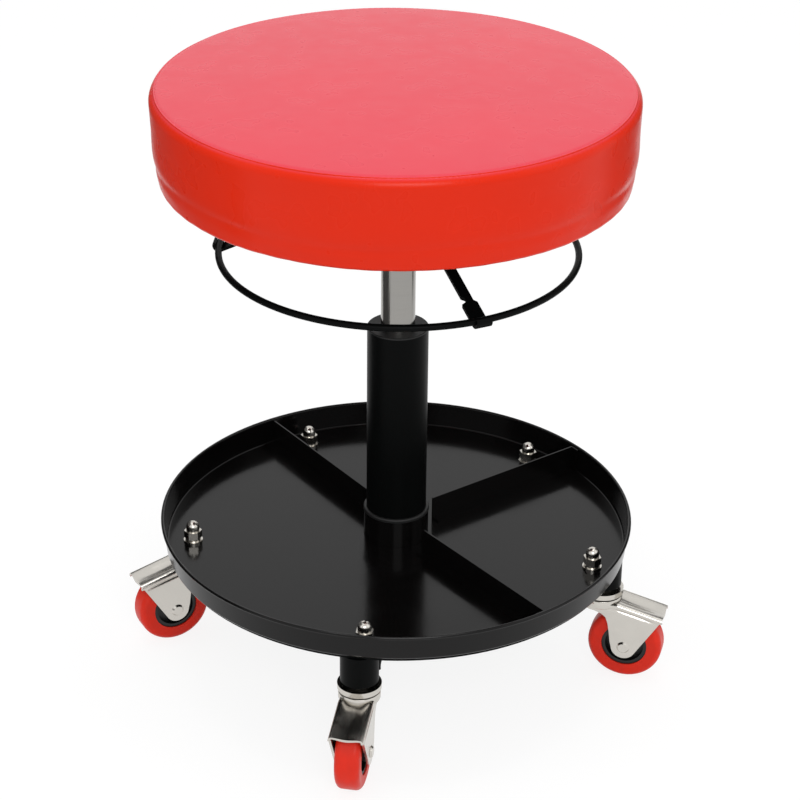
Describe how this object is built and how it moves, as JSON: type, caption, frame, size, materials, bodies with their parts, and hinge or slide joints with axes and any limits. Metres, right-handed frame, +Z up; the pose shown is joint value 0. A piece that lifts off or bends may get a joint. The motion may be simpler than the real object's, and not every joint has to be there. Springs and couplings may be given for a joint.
{
  "type": "creeper seat",
  "caption": "Round padded creeper seat on a gas lift with a ring lever, a divided round tool tray and swivel casters.",
  "frame": {"origin": "on the floor, directly under the column's axis", "axes": "+Z up along the column, -Y towards the side the picture shows, +X to that side's right"},
  "size_m": [0.4602, 0.4616, 0.5185],
  "materials": {
    "red_vinyl": "smooth gloss vinyl",
    "seat_foam": "moulded foam",
    "plywood": "raw plywood",
    "black_sheet": "matte non-woven sheet",
    "black_paint": "semi-gloss black powder coat",
    "tray_paint": "gloss black enamel",
    "satin_chrome": "satin chrome",
    "zinc": "bright zinc plate",
    "plain_steel": "ground steel",
    "black_plastic": "moulded black nylon",
    "black_rubber": "matte rubber",
    "wheel_core": "moulded black polypropylene",
    "red_tyre": "moulded red polyurethane"
  },
  "bodies": {
    "seat": {"seat_cover": "red_vinyl", "seat_welt": "red_vinyl", "seat_foam": "seat_foam", "seat_board": "plywood", "dust_cover": "black_sheet", "t_nuts": "zinc", "plate_screws": "zinc", "mounting_plate": "black_paint", "lever_housing": "black_paint", "gas_cylinder": "satin_chrome", "rod_gland": "black_plastic"},
    "ring_lever": {"lever_hub": "black_paint", "lever_arm_front": "black_paint", "lever_arm_back": "black_paint", "lever_arm_left": "black_paint", "lever_rivets": "zinc", "lever_ring": "black_paint"},
    "release_pin": {"valve_pin": "plain_steel"},
    "gas_rod": {"gas_rod": "plain_steel", "rod_piston": "plain_steel", "thrust_bearing": "plain_steel", "bump_stop": "black_rubber", "rod_clip": "plain_steel"},
    "base": {"column_tube": "black_paint", "column_bushing": "black_plastic", "column_floor": "black_paint", "column_socket": "tray_paint", "socket_collar": "black_plastic", "tray_pan": "tray_paint", "divider_back_left": "tray_paint", "divider_back_right": "tray_paint", "divider_front_right": "tray_paint", "support_plate": "black_paint", "base_legs": "black_paint", "caster_bosses": "black_paint", "weld_studs": "zinc", "flat_washers": "zinc", "spring_washers": "zinc", "dome_nuts": "zinc", "caster_stems": "zinc", "caster_cups": "zinc", "caster_balls": "plain_steel"},
    "fork_front": {"fork_front": "zinc", "axle_front": "zinc"},
    "wheel_front": {"core_front": "wheel_core", "tyre_front": "red_tyre"},
    "fork_right": {"fork_right": "zinc", "axle_right": "zinc"},
    "wheel_right": {"core_right": "wheel_core", "tyre_right": "red_tyre"},
    "fork_back": {"fork_back": "zinc", "axle_back": "zinc"},
    "wheel_back": {"core_back": "wheel_core", "tyre_back": "red_tyre"},
    "fork_left": {"fork_left": "zinc", "axle_left": "zinc"},
    "wheel_left": {"core_left": "wheel_core", "tyre_left": "red_tyre"}
  },
  "joints": [
    {"name": "seat_swivel", "type": "hinge", "parent": "base", "child": "gas_rod", "pos_m": [0, 0, 0.091], "axis": [0, 0, 1], "continuous": true},
    {"name": "seat_lift", "type": "slide", "parent": "gas_rod", "child": "seat", "axis": [0, 0, 1], "range_m": [-0.084, 0.026]},
    {"name": "ring_lever_tilt", "type": "hinge", "parent": "seat", "child": "ring_lever", "pos_m": [0.01315, -0.02696, 0.4226], "axis": [-0.8988, -0.4384, 0], "range_deg": [0, 5], "stiffness_Nm_per_rad": 12, "springref_deg": -5.73},
    {"name": "valve_press", "type": "slide", "parent": "seat", "child": "release_pin", "axis": [0, 0, -1], "range_m": [0, 0.00275]},
    {"name": "caster_swivel_front", "type": "hinge", "parent": "base", "child": "fork_front", "pos_m": [-0.02764, -0.17453, 0.0725], "axis": [0, 0, 1], "continuous": true},
    {"name": "wheel_spin_front", "type": "hinge", "parent": "fork_front", "child": "wheel_front", "pos_m": [-0.03178, -0.19684, 0.0315], "axis": [0.9833, -0.1822, 0], "continuous": true},
    {"name": "caster_swivel_right", "type": "hinge", "parent": "base", "child": "fork_right", "pos_m": [0.17453, -0.02764, 0.0725], "axis": [0, 0, 1], "continuous": true},
    {"name": "wheel_spin_right", "type": "hinge", "parent": "fork_right", "child": "wheel_right", "pos_m": [0.1964, -0.03371, 0.0315], "axis": [0.2672, 0.9636, 0], "continuous": true},
    {"name": "caster_swivel_back", "type": "hinge", "parent": "base", "child": "fork_back", "pos_m": [0.02764, 0.17453, 0.0725], "axis": [0, 0, 1], "continuous": true},
    {"name": "wheel_spin_back", "type": "hinge", "parent": "fork_back", "child": "wheel_back", "pos_m": [0.03352, 0.19645, 0.0315], "axis": [-0.9659, 0.2588, 0], "continuous": true},
    {"name": "caster_swivel_left", "type": "hinge", "parent": "base", "child": "fork_left", "pos_m": [-0.17453, 0.02764, 0.0725], "axis": [0, 0, 1], "continuous": true},
    {"name": "wheel_spin_left", "type": "hinge", "parent": "fork_left", "child": "wheel_left", "pos_m": [-0.19455, 0.01695, 0.0315], "axis": [0.471, -0.8821, 0], "continuous": true}
  ],
  "couplings": [
    {"joint": "valve_press", "follows": "ring_lever_tilt", "m_per_rad": 0.0315}
  ]
}
